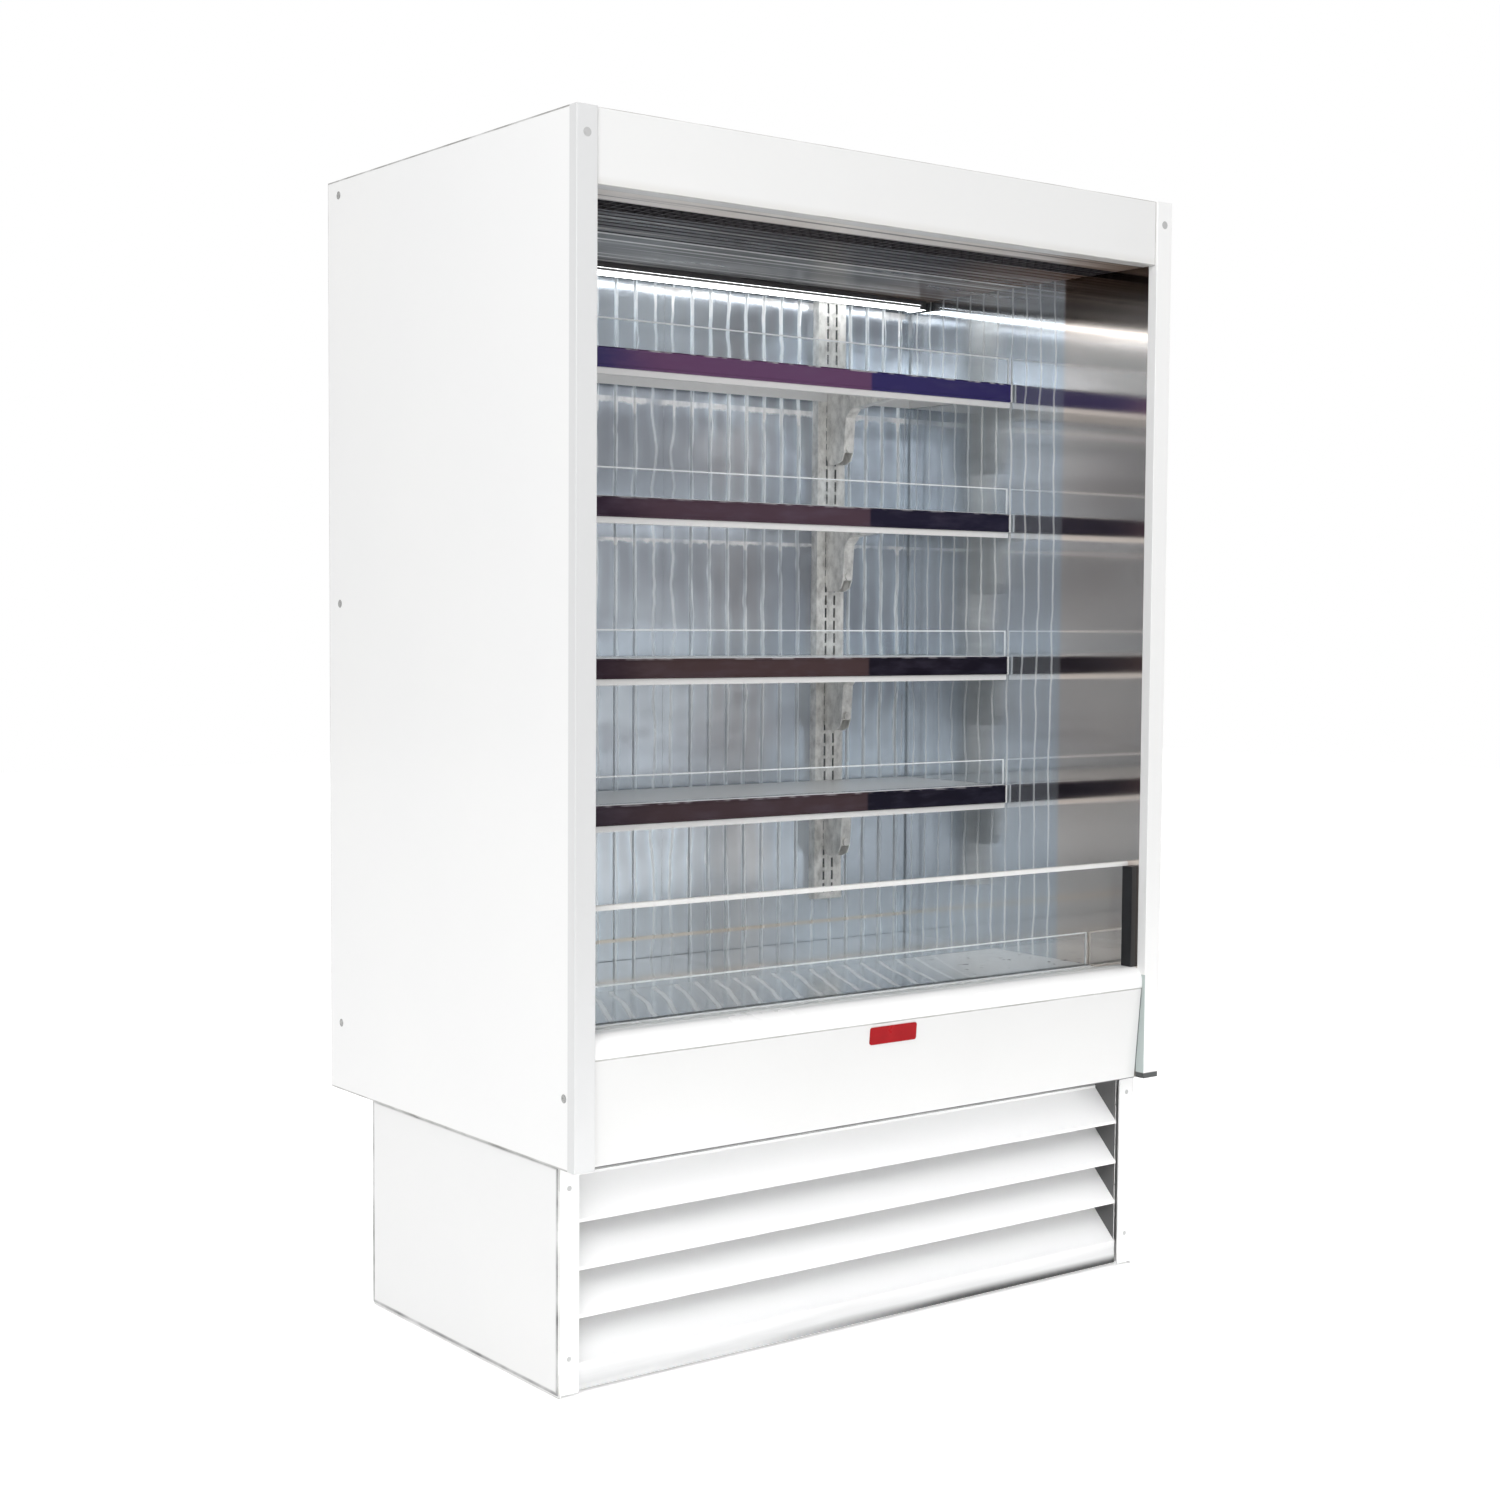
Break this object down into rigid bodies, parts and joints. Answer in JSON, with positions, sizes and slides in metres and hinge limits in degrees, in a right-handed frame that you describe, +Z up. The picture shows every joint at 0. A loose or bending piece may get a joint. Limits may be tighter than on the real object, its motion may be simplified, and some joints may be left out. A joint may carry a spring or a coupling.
{
  "type": "open multideck display fridge",
  "caption": "White open-fronted display fridge with a bright ribbed interior, dark-edged lift-out shelves, clear front guard, lit canopy and a louvred machine base",
  "frame": {"origin": "on the floor, under the centre of the cabinet's footprint", "axes": "+Z up, the open front faces -Y, +X is on the right for someone standing in front of the case"},
  "size_m": [1.2954, 0.813, 1.9812],
  "materials": {
    "white_enamel": "smooth gloss",
    "white_trim": "smooth satin",
    "bright_steel": "polished",
    "galvanised": "dull",
    "shelf_paint": "smooth satin",
    "dark_plastic": "satin",
    "clear_plastic": "clear",
    "clear_glass": "clear",
    "white_plastic": "gloss",
    "black_plastic": "satin",
    "lamp_white": "frosted",
    "dark_sheet": "satin",
    "red_plate": "gloss",
    "fin_aluminium": "finned",
    "black_enamel": "gloss",
    "copper_pipe": "drawn",
    "motor_grey": "satin",
    "screw_steel": "bright"
  },
  "bodies": {
    "cabinet": {"left_end_panel": "white_enamel", "right_end_panel": "white_enamel", "end_liners": "bright_steel", "front_posts": "white_enamel", "back_wall": "white_enamel", "top_wall": "white_enamel", "tub": "white_enamel", "back_panels": "bright_steel", "shelf_standards": "galvanised", "canopy_fascia": "white_enamel", "canopy_strip": "white_trim", "discharge_honeycomb": "black_plastic", "canopy_ceiling": "dark_sheet", "canopy_lamp": "lamp_white", "nose_rail": "white_plastic", "lower_front_panel": "white_enamel", "badge_plate": "red_plate", "riser_guard": "clear_glass", "riser_rail": "white_trim", "riser_end_brackets": "black_plastic", "deck_fence": "clear_plastic", "return_grille": "white_enamel", "fan_bulkhead": "galvanised", "evaporator_coil": "fin_aluminium", "fan_motors": "motor_grey", "condenser_coil": "fin_aluminium", "condenser_shroud": "black_enamel", "compressor": "black_enamel", "refrigerant_pipes": "copper_pipe", "condensate_pan": "galvanised", "control_box": "galvanised", "base_frame": "white_enamel", "base_panels": "white_enamel", "panel_screws": "screw_steel"},
    "condenser_fan_rotor": {"condenser_fan": "black_plastic"},
    "evaporator_fan_left_rotor": {"evaporator_fan_left": "black_plastic"},
    "evaporator_fan_right_rotor": {"evaporator_fan_right": "black_plastic"},
    "deck_front": {"deck_pan_front": "bright_steel"},
    "deck_rear": {"deck_pan_rear": "bright_steel"},
    "front_louvre": {"louvre_grille": "white_enamel"},
    "switch_rocker": {"power_switch": "black_plastic"},
    "knob": {"thermostat_knob": "black_plastic"},
    "shelf_1": {"shelf_1_pan": "shelf_paint", "shelf_1_brackets": "shelf_paint", "shelf_1_price_rail": "dark_plastic", "shelf_1_fence": "clear_plastic", "shelf_1_lamp": "lamp_white"},
    "shelf_2": {"shelf_2_pan": "shelf_paint", "shelf_2_brackets": "shelf_paint", "shelf_2_price_rail": "dark_plastic", "shelf_2_fence": "clear_plastic", "shelf_2_lamp": "lamp_white"},
    "shelf_3": {"shelf_3_pan": "shelf_paint", "shelf_3_brackets": "shelf_paint", "shelf_3_price_rail": "dark_plastic", "shelf_3_fence": "clear_plastic"},
    "shelf_4": {"shelf_4_pan": "shelf_paint", "shelf_4_brackets": "shelf_paint", "shelf_4_price_rail": "dark_plastic", "shelf_4_fence": "clear_plastic"}
  },
  "joints": [
    {"name": "condenser_fan_spin", "type": "hinge", "parent": "cabinet", "child": "condenser_fan_rotor", "pos_m": [-0.15, -0.168, 0.182], "axis": [0, 1, 0], "continuous": true},
    {"name": "evaporator_fan_left_spin", "type": "hinge", "parent": "cabinet", "child": "evaporator_fan_left_rotor", "pos_m": [-0.27, -0.2538, 0.4769], "axis": [0, 1, 0], "continuous": true},
    {"name": "evaporator_fan_right_spin", "type": "hinge", "parent": "cabinet", "child": "evaporator_fan_right_rotor", "pos_m": [0.27, -0.2538, 0.4769], "axis": [0, 1, 0], "continuous": true},
    {"name": "shelf_1_lift", "type": "slide", "parent": "cabinet", "child": "shelf_1", "axis": [0, 0, 1], "range_m": [0, 0.011]},
    {"name": "shelf_2_lift", "type": "slide", "parent": "cabinet", "child": "shelf_2", "axis": [0, 0, 1], "range_m": [0, 0.011]},
    {"name": "shelf_3_lift", "type": "slide", "parent": "cabinet", "child": "shelf_3", "axis": [0, 0, 1], "range_m": [0, 0.011]},
    {"name": "shelf_4_lift", "type": "slide", "parent": "cabinet", "child": "shelf_4", "axis": [0, 0, 1], "range_m": [0, 0.011]},
    {"name": "deck_front_lift", "type": "slide", "parent": "cabinet", "child": "deck_front", "axis": [0, 0, 1], "range_m": [0, 0.085]},
    {"name": "deck_rear_lift", "type": "slide", "parent": "cabinet", "child": "deck_rear", "axis": [0, 0, 1], "range_m": [0, 0.085]},
    {"name": "louvre_pull", "type": "slide", "parent": "cabinet", "child": "front_louvre", "axis": [0, -1, 0], "range_m": [0, 0.12]},
    {"name": "power_switch_rock", "type": "hinge", "parent": "cabinet", "child": "switch_rocker", "pos_m": [0.435, -0.255, 0.14], "axis": [-1, 0, 0], "range_deg": [0, 16]},
    {"name": "thermostat_turn", "type": "hinge", "parent": "cabinet", "child": "knob", "pos_m": [0.372, -0.262, 0.14], "axis": [0, -1, 0], "range_deg": [-150, 150]}
  ]
}
